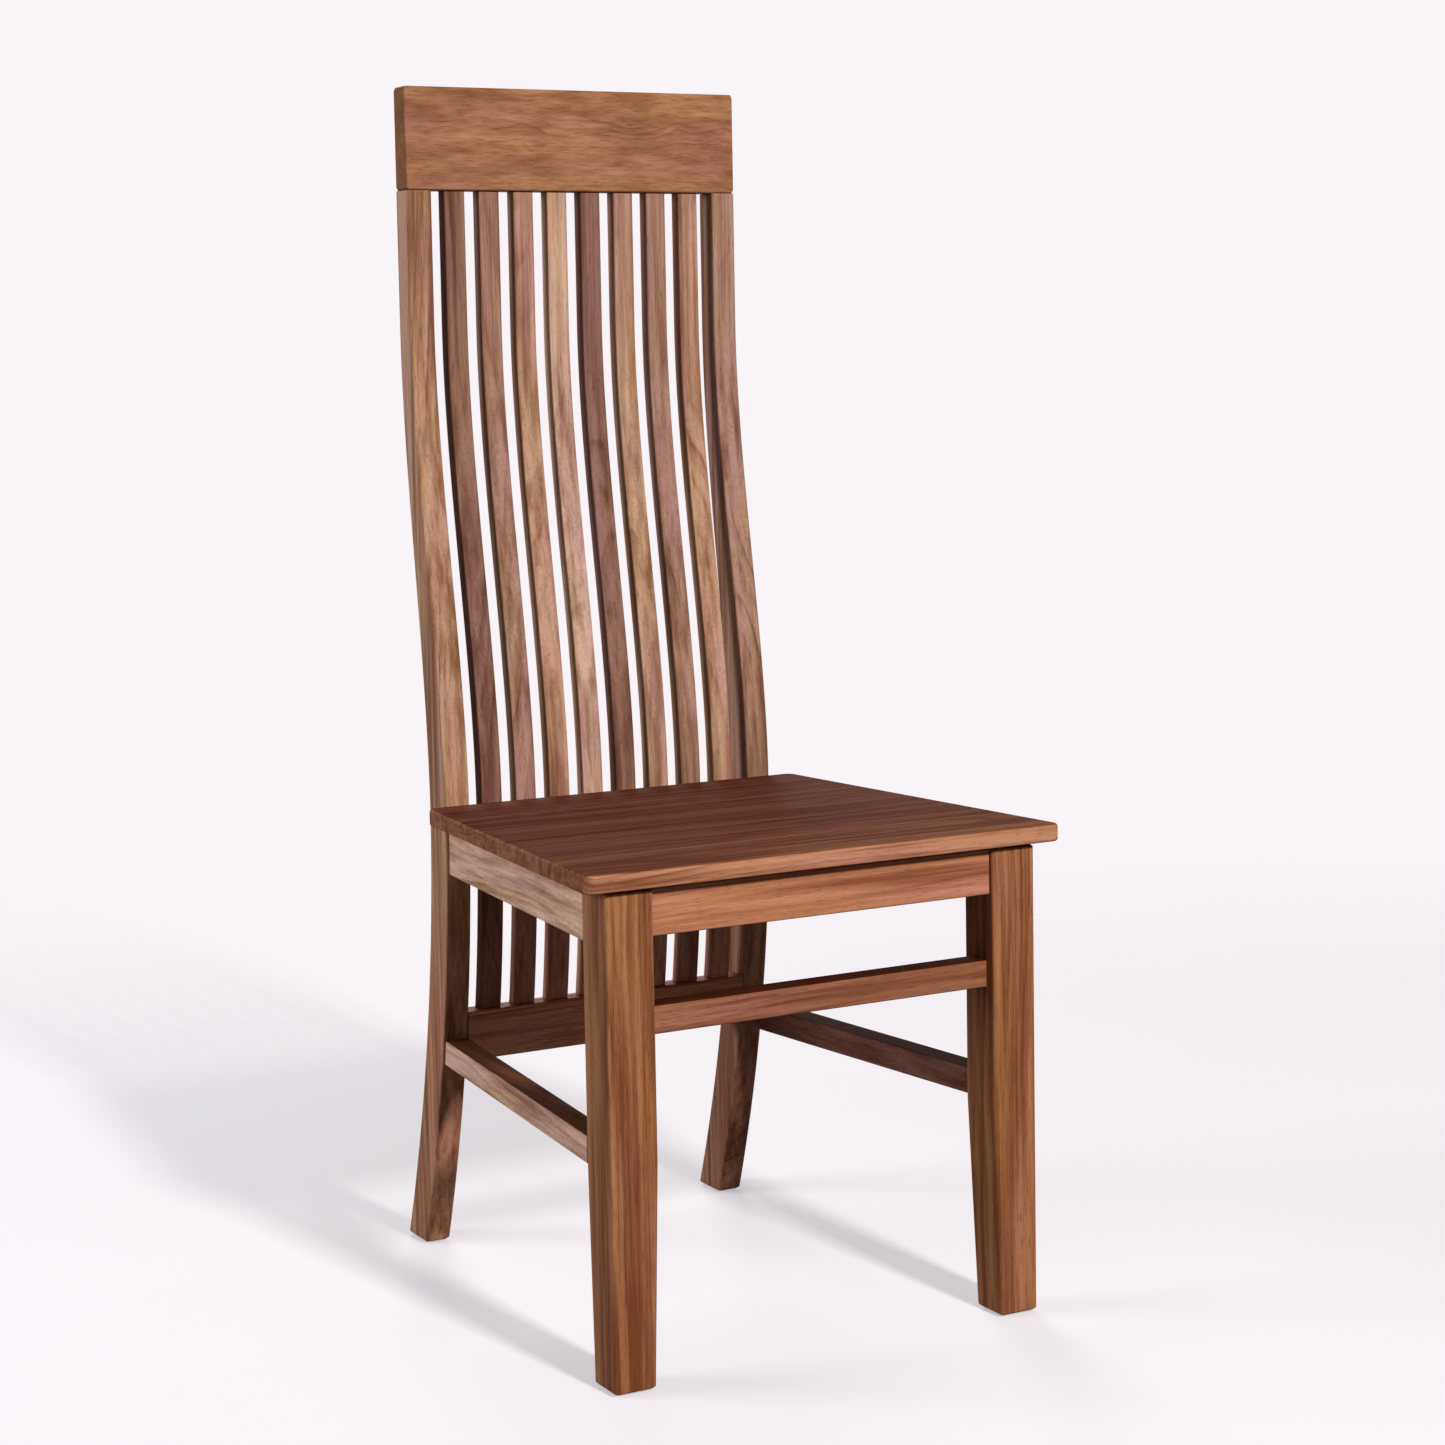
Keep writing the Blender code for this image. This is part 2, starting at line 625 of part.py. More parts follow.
def seat_blank():
    """The seat in one piece: a rounded upper edge, and a shallow rebate under its outer edge."""
    underside = SEAT_HEIGHT - SEAT_THICKNESS
    lip = underside + SEAT_REBATE_HEIGHT
    rebate = SEAT_OVERHANG_FRONT + SEAT_REBATE_INSIDE
    edge = [
        (underside, rebate, SEAT_CORNER / 4),
        (lip, rebate, SEAT_CORNER / 4),
        (lip, ARRIS, SEAT_CORNER - ARRIS),
        (lip + ARRIS, 0, SEAT_CORNER),
    ]
    for step in range(ROUND_STEPS + 1):
        angle = math.radians(90) * step / ROUND_STEPS
        inset = SEAT_ROUND * (1 - math.cos(angle))
        edge.append((SEAT_HEIGHT - SEAT_ROUND * (1 - math.sin(angle)), inset, SEAT_CORNER - inset))
    return loft("seat_board", [[Vector((*p, z)) for p in seat_outline(i, c)] for z, i, c in edge])


def board_strip(number):
    """The strip across the seat that one board fills."""
    width = (SEAT_REAR + SEAT_NOSE) / SEAT_BOARDS
    start = -SEAT_NOSE + number * width
    y0 = start - STRIP_CLEAR if number == 0 else start + FIT / 2
    y1 = start + width + (STRIP_CLEAR if number == SEAT_BOARDS - 1 else -FIT / 2)
    half = FRONT_WIDTH / 2 + SEAT_OVERHANG_FRONT + STRIP_CLEAR
    heights = (SEAT_HEIGHT - SEAT_THICKNESS - STRIP_CLEAR, SEAT_HEIGHT + STRIP_CLEAR)
    return loft("board_strip", [upright((-half, half, y0, y1), ARRIS, z) for z in heights])


def add_seat():
    mesh = seat_blank()
    for number in range(SEAT_BOARDS):
        place(f"seat_board_{number + 1}", mesh, seat_wood())
        cut(f"seat_board_{number + 1}", board_strip(number), operation="INTERSECT")


# ---- corner blocks -------------------------------------------------------------------------------
def block_plan(front):
    """Plan of a corner block on the +X side; its sloping face runs from the last point to the first."""
    if front:
        wall = FRONT_APRON[1] + FIT
        leg_x = FRONT_LEG_INSIDE - FIT
        leg_y = FRONT_LEG + FIT
        far = leg_y + BLOCK_LEG
        return [
            (leg_x - BLOCK_LEG, wall), (leg_x, wall), (leg_x, leg_y),
            (apron_inside(leg_y) - FIT, leg_y), (apron_inside(far) - FIT, far),
        ]
    wall = REAR_SEAT_RAIL[0] - FIT
    near = wall - BLOCK_LEG
    corner_x = apron_inside(wall) - FIT
    return [(apron_inside(near) - FIT, near), (corner_x, wall), (corner_x - BLOCK_LEG, wall)]


def corner_block(front, side):
    plan = [(side * x, y) for x, y in block_plan(front)]
    heights = (FRAME_TOP - BLOCK_HEIGHT, FRAME_TOP)
    return loft("corner_block", [[Vector((x, y, z)) for x, y in plan] for z in heights])


def add_corner_blocks():
    for end, front in ENDS.items():
        for hand, side in SIDES.items():
            place(f"corner_block_{end}_{hand}", corner_block(front, side), block_wood())


# ---- screws --------------------------------------------------------------------------------------
def screw(length):
    """A countersunk wood screw, head down at its origin and point up."""
    head = SCREW_HEAD_DIAMETER / 2
    shank = SCREW_DIAMETER / 2
    return turned("screw", [
        (0, 0), (head, 0), (shank, SCREW_HEAD_HEIGHT), (shank, length - SCREW_POINT), (0, length),
    ])


def screw_hole(length):
    """Clearance round a screw, open below its head."""
    head = SCREW_HEAD_DIAMETER / 2 + FIT
    shank = SCREW_DIAMETER / 2 + FIT
    end = length + FIT
    return turned("screw_hole", [
        (0, -DRIVER_CLEAR), (head, -DRIVER_CLEAR), (head, 0),
        (shank, SCREW_HEAD_HEIGHT), (shank, end), (0, end),
    ])


def seat_screw_place(front, side):
    """Foot of a seat screw, a little way in from the sloping face of its block."""
    plan = block_plan(front)
    start = Vector(plan[0])
    slope = Vector(plan[-1]) - start
    share = FRONT_SCREW_SHARE if front else REAR_SCREW_SHARE
    inward = Vector((slope.y, -slope.x)).normalized()
    point = start + slope * share + inward * SCREW_INSET
    return Vector((side * point.x, point.y, FRAME_TOP - BLOCK_HEIGHT))


def leg_screw_stand(side):
    """Foot and turn of the screw that draws a front block into its leg's inner corner."""
    plan = block_plan(True)
    near, far = Vector(plan[0]), Vector(plan[-1])
    slope = Vector((side * (far.x - near.x), far.y - near.y, 0)).normalized()
    axis = Vector((0, 0, 1)).cross(slope) * -side
    height = FRAME_TOP - BLOCK_HEIGHT / 2
    corner = Vector((side * FRONT_LEG_INSIDE, FRONT_LEG, height))
    on_face = Vector((side * near.x, near.y, height))
    foot = corner - axis * ((corner - on_face).dot(axis) - FIT)
    return foot, axis.to_track_quat("Z", "Y").to_matrix().to_4x4()


def add_seat_screws():
    """Screws up through the corner blocks into the first and last boards of the seat."""
    mesh = screw(SEAT_SCREW_LENGTH)
    hole = screw_hole(SEAT_SCREW_LENGTH)
    for end, front in ENDS.items():
        board = 1 if front else SEAT_BOARDS
        for hand, side in SIDES.items():
            foot = seat_screw_place(front, side)
            place(f"seat_screw_{end}_{hand}", mesh, steel(), foot)
            cut(f"corner_block_{end}_{hand}", hole, foot)
            cut(f"seat_board_{board}", hole, foot)


def add_leg_screws():
    mesh = screw(LEG_SCREW_LENGTH)
    hole = screw_hole(LEG_SCREW_LENGTH)
    for hand, side in SIDES.items():
        foot, turn = leg_screw_stand(side)
        place(f"leg_screw_{hand}", mesh, steel(), foot, turn)
        cut(f"corner_block_front_{hand}", hole, foot, turn)
        cut(f"front_leg_{hand}", hole, foot, turn)


# ---- glides --------------------------------------------------------------------------------------
def glide():
    """A nylon glide: a disc under the foot with a stem up into it."""
    edge = GLIDE_DIAMETER / 2
    stem = GLIDE_STEM_DIAMETER / 2
    top = GLIDE_THICKNESS - FIT
    return turned("glide", [
        (0, 0), (edge - GLIDE_CHAMFER, 0), (edge, GLIDE_CHAMFER), (edge, top), (stem, top),
        (stem, top + GLIDE_STEM_LENGTH), (0, top + GLIDE_STEM_LENGTH),
    ])


def glide_hole():
    radius = GLIDE_STEM_DIAMETER / 2 + FIT
    top = GLIDE_THICKNESS + GLIDE_STEM_LENGTH
    return turned("glide_hole", [(0, 0), (radius, 0), (radius, top), (0, top)])


def foot_centre(front, side):
    """The middle of a foot, on the floor."""
    if front:
        half = (FRONT_LEG - FRONT_LEG_TAPER) / 2
        return (side * (FRONT_WIDTH / 2 - half), half, 0)
    x = side * (REAR_WIDTH - REAR_LEG_WIDTH) / 2
    return (x, rear_face(GLIDE_THICKNESS) + REAR_FOOT_DEPTH / 2, 0)


def add_glides():
    mesh = glide()
    hole = glide_hole()
    for end, front in ENDS.items():
        for hand, side in SIDES.items():
            foot = foot_centre(front, side)
            place(f"glide_{end}_{hand}", mesh, nylon(), foot)
            cut(f"{end}_leg_{hand}", hole, foot)


# ---- the chair -----------------------------------------------------------------------------------
def start():
    """Empties the scene and sets up the chair's datum."""
    for old in list(bpy.data.objects):
        bpy.data.objects.remove(old, do_unlink=True)
    chair = bpy.data.objects.new("chair", None)
    chair.location = (0, SEAT_NOSE - overall_depth() / 2, 0)
    bpy.context.scene.collection.objects.link(chair)


start()
add_legs()
add_front_apron()
add_side_aprons()
add_rear_seat_rail()
add_front_stretcher()
add_side_stretchers()
add_lower_rear_rail()
add_top_rail()
add_slats()
add_seat()
add_corner_blocks()
add_seat_screws()
add_leg_screws()
add_glides()
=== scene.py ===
"""The dining chair, dressed: satin-finished wood on every timber, a pale floor and soft studio light."""
import math

import bpy
from mathutils import Matrix, Vector

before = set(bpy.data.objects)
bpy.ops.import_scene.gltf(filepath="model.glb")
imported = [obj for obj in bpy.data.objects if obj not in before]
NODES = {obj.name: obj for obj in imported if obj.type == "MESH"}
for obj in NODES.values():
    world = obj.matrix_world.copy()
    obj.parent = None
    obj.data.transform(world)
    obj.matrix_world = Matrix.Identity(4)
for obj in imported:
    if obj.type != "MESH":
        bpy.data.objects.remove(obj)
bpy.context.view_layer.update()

# ---- camera: where the photographer stood ---------------------------------------------------------
CAMERA_PLACE = (-1.329, -2.482, 0.899)
CAMERA_YAW = 28.95         # degrees to the right of +Y
CAMERA_PITCH = 5.33        # degrees below level
CAMERA_ROLL = -1.0         # degrees
LENS = 74.0                # millimetres
SENSOR_WIDTH = 36          # millimetres
CAMERA_SHIFT = 0.069       # share of the picture's height, as with a shift lens

# ---- timber ---------------------------------------------------------------------------------------
# the body colour of each timber; its early wood is paler and its late wood darker
CHESTNUT = (0.34, 0.154, 0.079)
RUSSET = (0.41, 0.168, 0.092)
SIENNA = (0.295, 0.119, 0.066)
TAN = (0.41, 0.225, 0.150)
GOLDEN = (0.43, 0.250, 0.165)
ROSE = (0.48, 0.295, 0.210)
DUN = (0.32, 0.173, 0.120)
HAZEL = (0.40, 0.220, 0.132)
BLUSH = (0.62, 0.385, 0.260)
BRICK = (0.47, 0.190, 0.120)
UMBER = (0.23, 0.113, 0.080)
BRONZE = (0.298, 0.121, 0.050)
DARK = (0.21, 0.091, 0.060)
SEAT = (0.39, 0.172, 0.100)
BARE = (0.50, 0.31, 0.17)
EARLY_WOOD = (1.32, 1.45, 1.60)      # times the body colour
LATE_WOOD = (0.54, 0.42, 0.37)

GRAIN_TURN = {"X": (0, math.pi / 2, 0), "Y": (math.pi / 2, 0, 0), "Z": (0, 0, 0)}
GRAIN_TILT = (0.03, 0.02, 0)
RING_WIDTH = 0.0065        # metres from one year's ring to the next
RING_WANDER = 9.0          # rings by which the wood's figure strays from true circles

# tone runs from 0 in early wood to 1 in late wood
MIDDLE_TONE = 0.42
DRIFT_DEPTH = 0.9          # how far the tone drifts along a piece
BAND_DEPTH = 3.1           # depth of the broad bands, times a piece's figure
STREAK_DEPTH = 3.3         # the same for the narrow streaks

# tints that a colour is multiplied by
WARM = (1.03, 1.01, 0.86)
ROSY = (1.02, 0.94, 1.03)
# painted shade: the seat boards' tops are darkened as tops lit less than their fronts; the front board's top
# less so, painted as its front edge catching more light
SEAT_TOP_PAINTED_SHADE = (0.31, 0.205, 0.19)
FRONT_BOARD_TOP_PAINTED_SHADE = (0.46, 0.370, 0.330)
# painted shade: the stretchers' tops are darkened as tops lit less than their sides
STRETCHER_TOP_PAINTED_SHADE = (0.20, 0.12, 0.08)
# painted shade: rear legs and slats darken from the seat's height downwards, as shade under the seat
UNDER_SEAT_PAINTED_SHADE = (0.98, 0.83, 0.73)
UNDER_SEAT_PAINTED_SHADE_FULL = 0.26      # height in metres below which the painted under-seat shade is full
UNDER_SEAT_PAINTED_SHADE_NONE = 0.50      # and above which there is none

# the lacquer: its specular level and its roughness
SATIN = (0.08, 0.64)
WORN = (0.03, 0.80)        # where people sit and rest their feet
EDGE_SOFTNESS = 0.0016     # metres over which an arris catches the light


class Graph:
    """A material's node tree, with a short way to add a node and to link sockets."""

    def __init__(self, name):
        self.material = bpy.data.materials.new(name)
        self.material.use_nodes = True
        self.tree = self.material.node_tree
        self.shader = self.tree.nodes["Principled BSDF"]

    def add(self, kind, inputs=None, **settings):
        node = self.tree.nodes.new("ShaderNode" + kind)
        for name, value in settings.items():
            setattr(node, name, value)
        for name, value in (inputs or {}).items():
            self.put(node.inputs[name], value)
        return node

    def put(self, socket, value):
        if isinstance(value, bpy.types.NodeSocket):
            self.tree.links.new(value, socket)
        else:
            socket.default_value = value

    def finish(self, **sockets):
        """Sets the shader's sockets, named in lower case with underscores."""
        for name, value in sockets.items():
            socket = next(s for s in self.shader.inputs if s.name.lower().replace(" ", "_") == name)
            self.put(socket, value)
        return self.material

    def maths(self, operation, *values):
        node = self.add("Math", operation=operation)
        for socket, value in zip(node.inputs, values):
            self.put(socket, value)
        return node.outputs[0]

    def swing(self, value, amount):
        """A noise value taken about its middle and scaled."""
        return self.maths("MULTIPLY", self.maths("SUBTRACT", value, 0.5), amount)

    def ramp(self, factor, stops, interpolation="EASE"):
        """A ramp through (position, colour) stops, where a colour may be one grey number."""
        node = self.add("ValToRGB", {"Fac": factor})
        ramp = node.color_ramp
        ramp.interpolation = interpolation
        while len(ramp.elements) < len(stops):
            ramp.elements.new(0.5)
        for element, (position, colour) in zip(ramp.elements, stops):
            element.position = position
            grey = isinstance(colour, (int, float))
            element.color = (colour, colour, colour, 1) if grey else (*colour, 1)
        return node.outputs[0]

    def mix(self, factor, a, b, blend="MIX"):
        node = self.add("Mix", data_type="RGBA", blend_type=blend)
        for socket, value in zip((node.inputs[0], node.inputs[6], node.inputs[7]), (factor, a, b)):
            self.put(socket, (*value, 1) if isinstance(value, tuple) else value)
        return node.outputs[2]

    def tinted(self, colour, tint):
        return self.mix(1.0, colour, tint, "MULTIPLY")

    def moved(self, place, location=(0, 0, 0), rotation=(0, 0, 0), scale=(1, 1, 1)):
        inputs = {"Vector": place, "Location": location, "Rotation": rotation, "Scale": scale}
        return self.add("Mapping", inputs).outputs[0]

    def noise(self, place, across, along, detail=2.0, roughness=0.5):
        """Noise drawn out along Z: the scales are in patterns per metre."""
        stretched = self.moved(place, scale=(across, across, along))
        inputs = {"Vector": stretched, "Scale": 1.0, "Detail": detail, "Roughness": roughness}
        return self.add("TexNoise", inputs)


def growth_rings(graph, log, wood, swirl):
    """Yearly rings about the log's heart: each darkens slowly to its late wood, then starts anew."""
    radius = graph.add("VectorMath", {0: graph.moved(log, scale=(1, 1, 0))}, operation="LENGTH")
    wander = graph.swing(graph.noise(wood, 13, swirl, 1.5).outputs["Fac"], RING_WANDER)
    growth = graph.maths("ADD", graph.maths("DIVIDE", radius.outputs["Value"], RING_WIDTH), wander)
    year = graph.add("TexWhiteNoise", {"W": graph.maths("FLOOR", growth)}, noise_dimensions="1D")
    season = graph.maths("FRACT", growth)
    late = graph.ramp(season, ((0.0, 0.25), (0.14, 0.0), (0.62, 0.35), (0.90, 1.0), (1.0, 0.25)))
    strength = graph.maths("MULTIPLY_ADD", year.outputs["Value"], 0.8, 0.2)
    return graph.maths("MULTIPLY", late, strength)


def end_grain(graph, grain):
    """1 on the sawn ends of a piece, 0 along its sides."""
    normal = graph.add("SeparateXYZ", {0: graph.add("TexCoord").outputs["Normal"]})
    facing = graph.maths("ABSOLUTE", normal.outputs["XYZ".index(grain)])
    return graph.ramp(facing, ((0.55, 0.0), (0.85, 1.0)))


# the mask for the painted shade on upper faces
def painted_top_shade_mask(graph):
    """1 on a face that looks up, 0 on the sides and the underside."""
    normal = graph.add("SeparateXYZ", {0: graph.add("TexCoord").outputs["Normal"]})
    return graph.ramp(normal.outputs["Z"], ((0.60, 0.0), (0.97, 1.0)))


def rubbed_edge(graph, soft_normal):
    """1 on an arris and 0 on a flat face, from how far the softened normal leans."""
    flat = graph.add("NewGeometry").outputs["Normal"]
    lean = graph.add("VectorMath", {0: soft_normal, 1: flat}, operation="DOT_PRODUCT")
    return graph.ramp(lean.outputs["Value"], ((0.80, 1.0), (0.995, 0.0)))


def timber(
    name, body, grain, seed, heart=(0.03, 0.07), figure=0.45, swirl=1.9, painted_top_shade=None, painted_under_seat_shade=None, finish=SATIN
):
    """Lacquered hardwood, each piece from its own part of a log.

    The grain runs along the axis named. The seed moves the piece to wood of its own, and the heart is
    how far the log's centre lies from it, in metres. The figure is how strongly the grain shows, and
    the swirl how often it bends, per metre. The painted top shade is painted shade: a darker tint on the
    upper face alone. The painted under-seat shade is painted shade too: a darker tint that grows downwards
    from the height of the seat."""
    graph = Graph(name)
    gloss, dull = finish
    pale = tuple(c * k for c, k in zip(body, EARLY_WOOD))
    dark = tuple(c * k for c, k in zip(body, LATE_WOOD))
    coords = graph.add("TexCoord").outputs["Object"]
    lengthwise = graph.moved(coords, rotation=GRAIN_TURN[grain])
    log = graph.moved(lengthwise, location=(*heart, 0), rotation=GRAIN_TILT)
    wood = graph.moved(lengthwise, location=(1.7 * seed, 0.9 * seed, 0.6 * seed))

    # figure: slow drifts of tone and hue, rings that come and go, broad bands and narrow streaks
    drift = graph.add("SeparateColor", {0: graph.noise(wood, 28, 3.4, 2.0).outputs["Color"]})
    rings = growth_rings(graph, log, wood, swirl)
    ring_depth = graph.ramp(drift.outputs["Blue"], ((0.38, 0.15), (0.62, 1.0)))
    streaks = graph.noise(wood, 150, 2.1 * swirl, 3.0, 0.6).outputs["Fac"]
    bands = graph.noise(wood, 55, 1.2 * swirl, 2.0, 0.55).outputs["Fac"]
    tone = graph.maths("ADD", graph.swing(drift.outputs["Red"], DRIFT_DEPTH), MIDDLE_TONE)
    tone = graph.maths("ADD", tone, graph.swing(bands, BAND_DEPTH * figure))
    tone = graph.maths("ADD", tone, graph.swing(streaks, STREAK_DEPTH * figure))
    shown_rings = graph.maths("MULTIPLY", rings, ring_depth)
    tone = graph.maths("ADD", tone, graph.maths("MULTIPLY", shown_rings, figure))
    colour = graph.ramp(tone, ((0.12, pale), (0.48, body), (0.92, dark)), "B_SPLINE")
    hue = graph.ramp(drift.outputs["Green"], ((0.36, 0.0), (0.64, 1.0)))
    colour = graph.mix(hue, graph.tinted(colour, WARM), graph.tinted(colour, ROSY))

    # close to: fibres, and short dark pores
    fibres = graph.noise(wood, 900, 24, 4.0, 0.65).outputs["Fac"]
    colour = graph.tinted(colour, graph.ramp(fibres, ((0.30, 0.84), (0.70, 1.12)), "LINEAR"))
    pores = graph.ramp(graph.noise(wood, 1700, 75, 1.0, 0.4).outputs["Fac"], ((0.61, 0.0), (0.70, 1.0)))
    colour = graph.mix(graph.maths("MULTIPLY", pores, 0.5), colour, tuple(0.5 * c for c in dark))

    # sawn ends are darker, upper faces take a painted shade, the parts below the seat a painted shade that
    # grows downwards, and rubbed edges are paler
    ends = end_grain(graph, grain)
    colour = graph.mix(graph.maths("MULTIPLY", ends, 0.5), colour, tuple(0.8 * c for c in dark))
    # painted shade on the upper faces
    if painted_top_shade:
        colour = graph.mix(painted_top_shade_mask(graph), colour, graph.tinted(colour, painted_top_shade))
    # painted shade that grows downwards below the seat
    if painted_under_seat_shade:
        height = graph.add("SeparateXYZ", {0: coords}).outputs["Z"]
        low = graph.ramp(height, ((UNDER_SEAT_PAINTED_SHADE_FULL, 1.0), (UNDER_SEAT_PAINTED_SHADE_NONE, 0.0)))
        colour = graph.mix(low, colour, graph.tinted(colour, painted_under_seat_shade))
    soft = graph.add("Bevel", {"Radius": EDGE_SOFTNESS}, samples=6).outputs[0]
    wear = graph.noise(wood, 60, 25, 3.0).outputs["Fac"]
    rubbed = graph.maths("MULTIPLY", rubbed_edge(graph, soft), wear)
    colour = graph.mix(graph.maths("MULTIPLY", rubbed, 0.4), colour, pale)

    rough = graph.maths("ADD", dull, graph.swing(fibres, 0.2))
    rough = graph.maths("ADD", rough, graph.maths("MULTIPLY", graph.maths("MAXIMUM", pores, ends), 0.15))
    relief = graph.maths("SUBTRACT", fibres, pores)
    relief = graph.maths("SUBTRACT", relief, graph.maths("MULTIPLY", rings, 0.3))
    bump = graph.add("Bump", {"Height": relief, "Strength": 0.4, "Distance": 0.0002, "Normal": soft})
    return graph.finish(base_color=colour, roughness=rough, specular_ior_level=gloss, normal=bump.outputs[0])


def steel():
    """Zinc-plated steel."""
    graph = Graph("zinc_steel")
    coords = graph.add("TexCoord").outputs["Object"]
    cloud = graph.noise(coords, 420, 420, 4.0, 0.6).outputs["Fac"]
    colour = graph.ramp(cloud, ((0.3, (0.50, 0.48, 0.42)), (0.7, (0.70, 0.68, 0.62))))
    rough = graph.ramp(cloud, ((0.3, 0.22), (0.7, 0.40)))
    return graph.finish(base_color=colour, roughness=rough, metallic=1.0)


def nylon():
    """Moulded dark nylon with a fine matt texture."""
    graph = Graph("glide_nylon")
    coords = graph.add("TexCoord").outputs["Object"]
    grit = graph.noise(coords, 1800, 1800, 3.0, 0.6).outputs["Fac"]
    colour = graph.ramp(grit, ((0.3, (0.030, 0.022, 0.018)), (0.7, (0.055, 0.042, 0.034))))
    bump = graph.add("Bump", {"Height": grit, "Strength": 0.3, "Distance": 0.0001})
    rough = graph.ramp(grit, ((0.3, 0.45), (0.7, 0.62)))
    return graph.finish(base_color=colour, roughness=rough, normal=bump.outputs[0])


def dress(node, material):
    """Gives a CAD node its finish, with shading that keeps its broad faces flat."""
    piece = NODES[node]
    piece.data.materials.clear()
    piece.data.materials.append(material)
    if "custom_normal" in piece.data.attributes:
        piece.data.attributes.remove(piece.data.attributes["custom_normal"])
    piece.data.shade_smooth()
    piece.modifiers.new("join_facets", "WELD").merge_threshold = 0.00001
    piece.modifiers.new("part_corners", "EDGE_SPLIT").split_angle = math.radians(50)
    piece.modifiers.new("flat_faces", "WEIGHTED_NORMAL").weight = 80


# ---- which timber each piece is, and how strong its figure is --------------------------------------
SLATS = (UMBER, DUN, TAN, ROSE, UMBER, GOLDEN, DUN, TAN)
SLAT_FIGURE = 0.56
LEGS = {
    "rear_leg_left": (HAZEL, 0.65),
    "rear_leg_right": (DUN, 0.65),
    "front_leg_left": (BRONZE, 0.80),
    "front_leg_right": (BRONZE, 0.65),
}
CROSS_RAILS = {
    "front_apron": (RUSSET, 0.48),
    "rear_seat_rail": (DARK, 0.45),
    "front_stretcher": (SIENNA, 0.48),
    "lower_rear_rail": (BRICK, 0.90),
}
SIDE_RAILS = {
    "side_apron_left": (BLUSH, 0.48),
    "side_apron_right": (BLUSH, 0.48),
    "side_stretcher_left": (BLUSH, 0.42),
    "side_stretcher_right": (DARK, 0.45),
}
# the painted shade on each seat board's upper face, the front board first
SEAT_TOP_PAINTED_SHADES = (FRONT_BOARD_TOP_PAINTED_SHADE, SEAT_TOP_PAINTED_SHADE, SEAT_TOP_PAINTED_SHADE, SEAT_TOP_PAINTED_SHADE, SEAT_TOP_PAINTED_SHADE)
SEAT_FIGURE = 0.65


def dress_back():
    """The top rail is cut from curly wood, and the slats from many boards."""
    dress("top_rail", timber("top_rail_wood", CHESTNUT, "X", 21, (0.10, 0.05), figure=0.32, swirl=14.0))
    for number, body in enumerate(SLATS, start=1):
        heart = (0.05 - 0.012 * number, 0.03 + 0.007 * number)
        # the slats take painted shade below the seat
        wood = timber(f"slat_wood_{number}", body, "Z", number, heart, SLAT_FIGURE, painted_under_seat_shade=UNDER_SEAT_PAINTED_SHADE)
        dress(f"slat_{number}", wood)


def dress_legs():
    for seed, (node, (body, figure)) in enumerate(LEGS.items(), start=11):
        heart = (0.02 * (seed - 12), 0.06)
        # the rear legs take painted shade below the seat
        painted_under_seat_shade = UNDER_SEAT_PAINTED_SHADE if "rear" in node else None
        dress(node, timber(f"{node}_wood", body, "Z", seed, heart, figure, painted_under_seat_shade=painted_under_seat_shade))


def dress_rails():
    for rails, grain, first_seed, heart in (
        (CROSS_RAILS, "X", 22, (0.10, 0.05)),
        (SIDE_RAILS, "Y", 31, (0.08, 0.03)),
    ):
        for seed, (node, (body, figure)) in enumerate(rails.items(), start=first_seed):
            # the stretchers' tops take painted shade, and the worn finish
            top = {"painted_top_shade": STRETCHER_TOP_PAINTED_SHADE, "finish": WORN} if "stretcher" in node else {}
            dress(node, timber(f"{node}_wood", body, grain, seed, heart, figure, **top))


def dress_seat():
    for number, painted_top_shade in enumerate(SEAT_TOP_PAINTED_SHADES, start=1):
        heart = (0.02 * number, 0.11)
        # each board's upper face takes its painted shade
        wood = timber(
            f"seat_wood_{number}", SEAT, "X", 40 + number, heart, SEAT_FIGURE, painted_top_shade=painted_top_shade, finish=WORN
        )
        dress(f"seat_board_{number}", wood)


def dress_hardware():
    shared = {"corner_block": timber("block_wood", BARE, "X", 51), "screw": steel(), "glide": nylon()}
    for node in NODES:
        for kind, material in shared.items():
            if kind in node:
                dress(node, material)


# ---- studio --------------------------------------------------------------------------------------
PALE = (0.945, 0.905, 0.935)         # floor and backdrop alike
FLOOR_REACH = 8.0                    # metres from the chair to each of its edges
FLOOR_FADE = (0.12, 0.36)            # shares of the reach where it starts to fade and is gone
FLOOR_GLOW = 0.44                    # light that it seems to give, where it is looked at
FLOOR_SHOWN = (0.56, 0.545, 0.575)   # its own colour where it is looked at
FLOOR_BOUNCE = (0.14, 0.14, 0.14)    # and for the light that it throws back
FILL_COLOUR = (0.98, 0.97, 1.0)
FILL_STRENGTH = 0.11

# place, point aimed at, width and height, watts, colour: a small key lamp far in front, whose
# shadows run backwards, and two broad ones that light the chair's left side and its back
LAMPS = {
    "key": ((0.32, -5.2, 3.2), (0, 0, 0.6), (0.5, 0.5), 350, (1.0, 0.97, 0.93)),
    "side": ((-3.7, 1.5, 1.7), (0, 0, 0.5), (2.0, 1.6), 92, (0.96, 1.0, 1.07)),
    "back": ((1.4, 4.2, 2.3), (0, 0, 0.6), (1.8, 1.2), 80, (1.0, 0.98, 0.96)),
}


